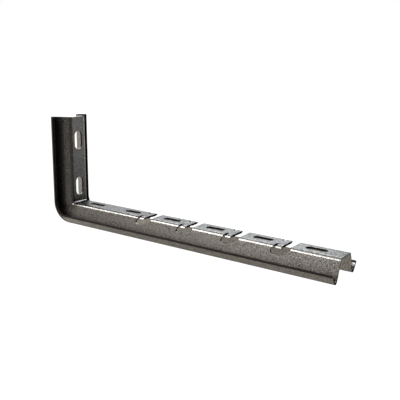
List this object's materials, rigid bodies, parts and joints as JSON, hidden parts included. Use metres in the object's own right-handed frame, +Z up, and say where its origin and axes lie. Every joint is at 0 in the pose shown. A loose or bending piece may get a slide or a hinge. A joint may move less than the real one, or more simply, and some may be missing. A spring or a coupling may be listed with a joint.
{
  "type": "wall bracket",
  "caption": "Cantilever wall bracket folded from one sheet: a flared, lipped channel bent into an L, with wall slots, tray slots and cut catches for a mesh tray.",
  "frame": {"origin": "inner corner of the L, where the arm's top and the upright's front meet, midway across the section", "axes": "+X out along the arm, away from the wall; +Z up the upright; the section is the same on both sides of Y = 0"},
  "size_m": [0.3215, 0.0508, 0.1125],
  "materials": {
    "galvanised_sheet": "galvanised, matt and finely speckled"
  },
  "bodies": {
    "root": {"wall_bracket": "galvanised_sheet"}
  },
  "joints": []
}
